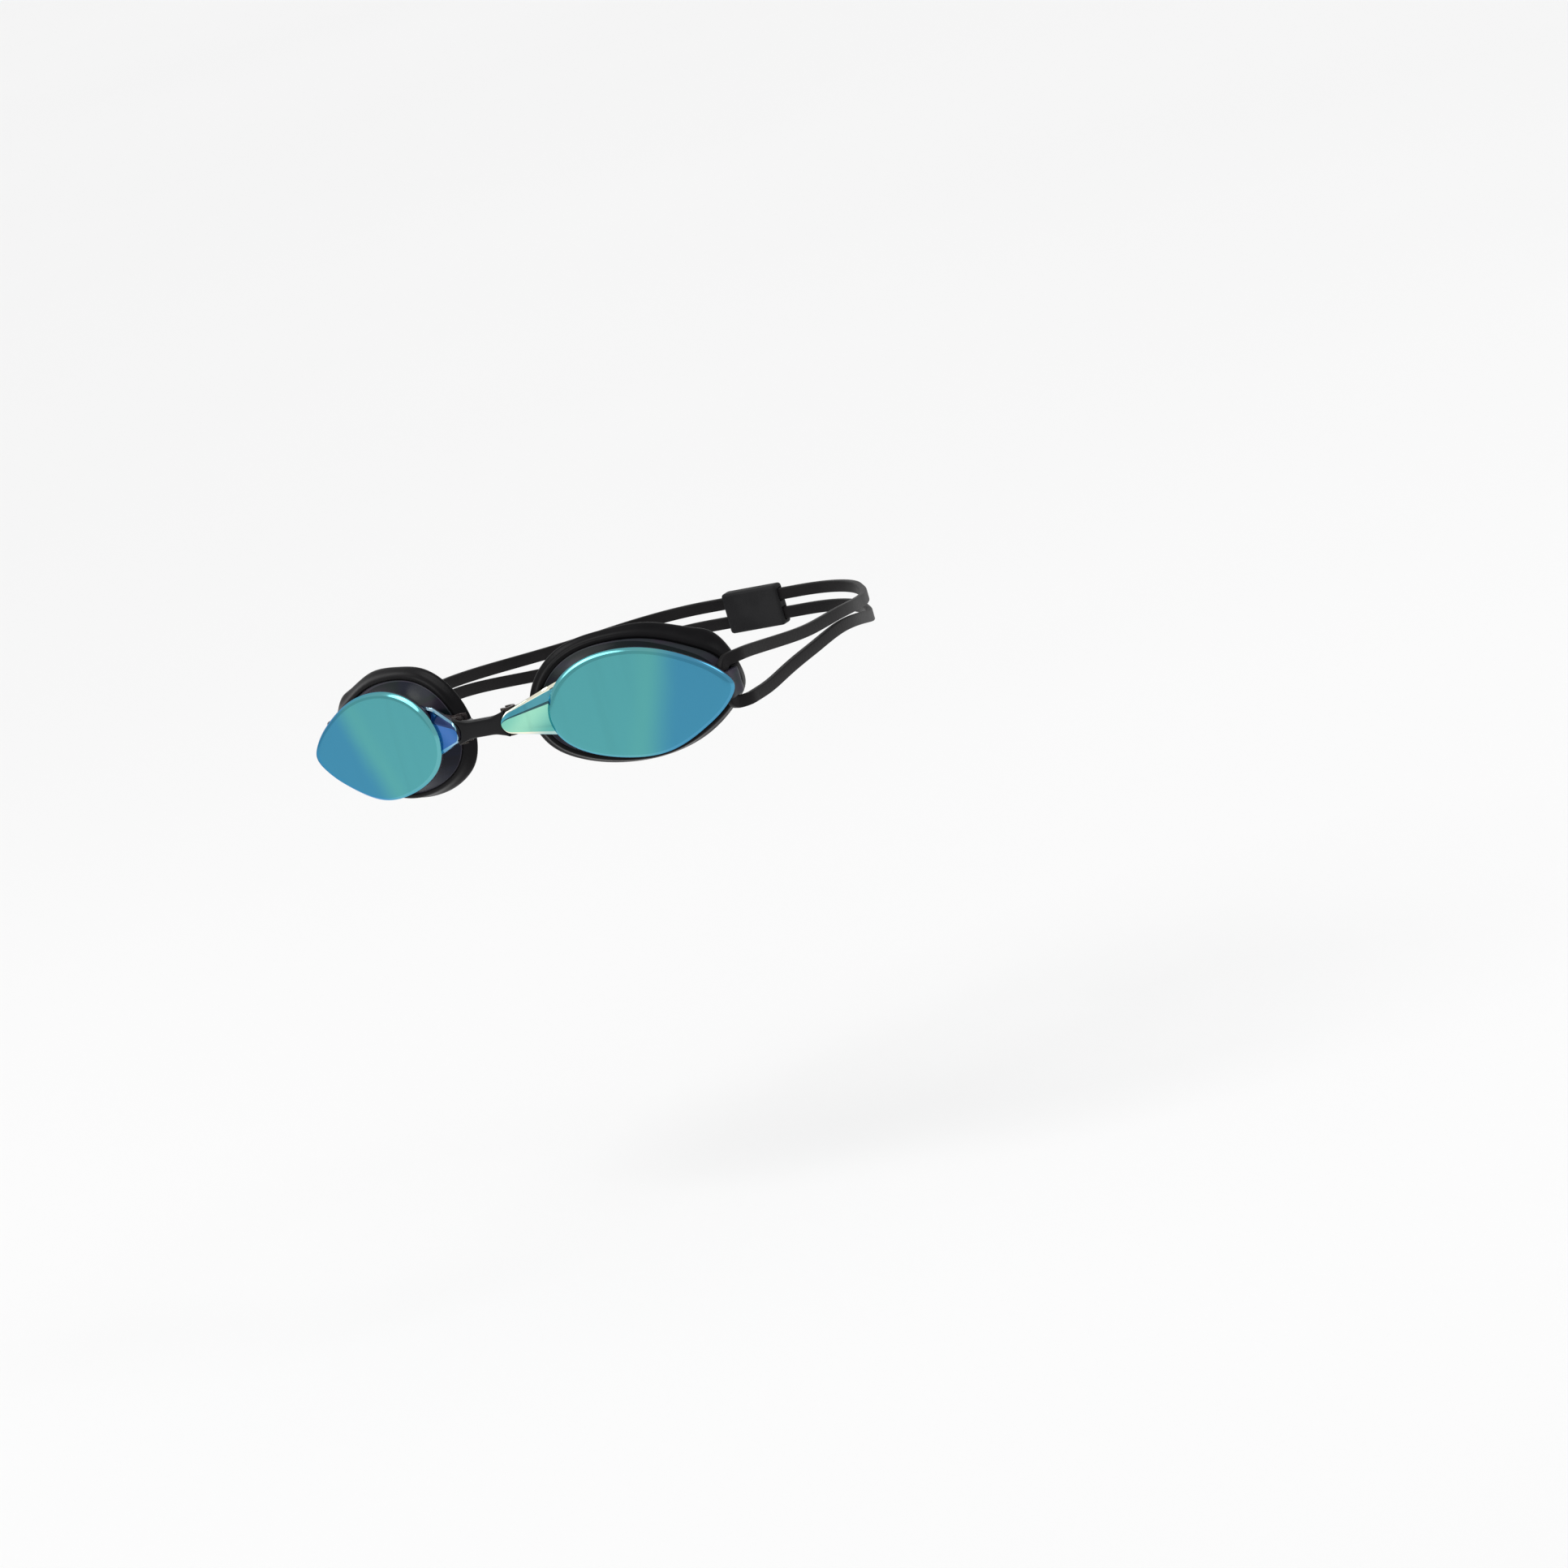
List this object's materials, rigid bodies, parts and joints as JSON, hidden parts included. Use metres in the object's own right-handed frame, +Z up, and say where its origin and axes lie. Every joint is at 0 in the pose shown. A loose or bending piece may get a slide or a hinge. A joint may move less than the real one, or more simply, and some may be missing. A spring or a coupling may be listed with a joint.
{
  "type": "swim goggles",
  "caption": "Racing swim goggles in their worn shape: mirrored lens cups with soft eye seals, a flexible nose bridge and a doubled head strap with a sliding back clip.",
  "frame": {"origin": "middle of the nose bridge's rear face, where it rests on the nose", "axes": "+X to the wearer's left, +Y back into the head, +Z up"},
  "size_m": [0.1494, 0.1757, 0.0412],
  "materials": {
    "mirror_lens": "teal mirror coating in front, dark smoke body behind",
    "gasket_rubber": "satin silicone",
    "bridge_plastic": "slightly glossy black",
    "strap_rubber": "matte charcoal silicone",
    "clip_plastic": "matte black"
  },
  "bodies": {
    "frame": {"nose_bridge": "bridge_plastic", "head_strap": "strap_rubber"},
    "left_cup": {"left_lens": "mirror_lens", "left_gasket": "gasket_rubber"},
    "right_cup": {"right_lens": "mirror_lens", "right_gasket": "gasket_rubber"},
    "clip": {"strap_clip": "clip_plastic"}
  },
  "joints": [
    {"name": "left_cup_flex", "type": "hinge", "parent": "frame", "child": "left_cup", "pos_m": [0.00868, 0.00144, 0], "axis": [0, 0, 1], "range_deg": [-5, 5], "stiffness_Nm_per_rad": 0.05, "deforming": ["head_strap"]},
    {"name": "right_cup_flex", "type": "hinge", "parent": "frame", "child": "right_cup", "pos_m": [-0.00868, 0.00144, 0], "axis": [0, 0, -1], "range_deg": [-5, 5], "stiffness_Nm_per_rad": 0.05, "deforming": ["head_strap"]},
    {"name": "clip_slide", "type": "slide", "parent": "frame", "child": "clip", "axis": [1, 0, 0], "range_m": [-0.005, 0.005]}
  ]
}
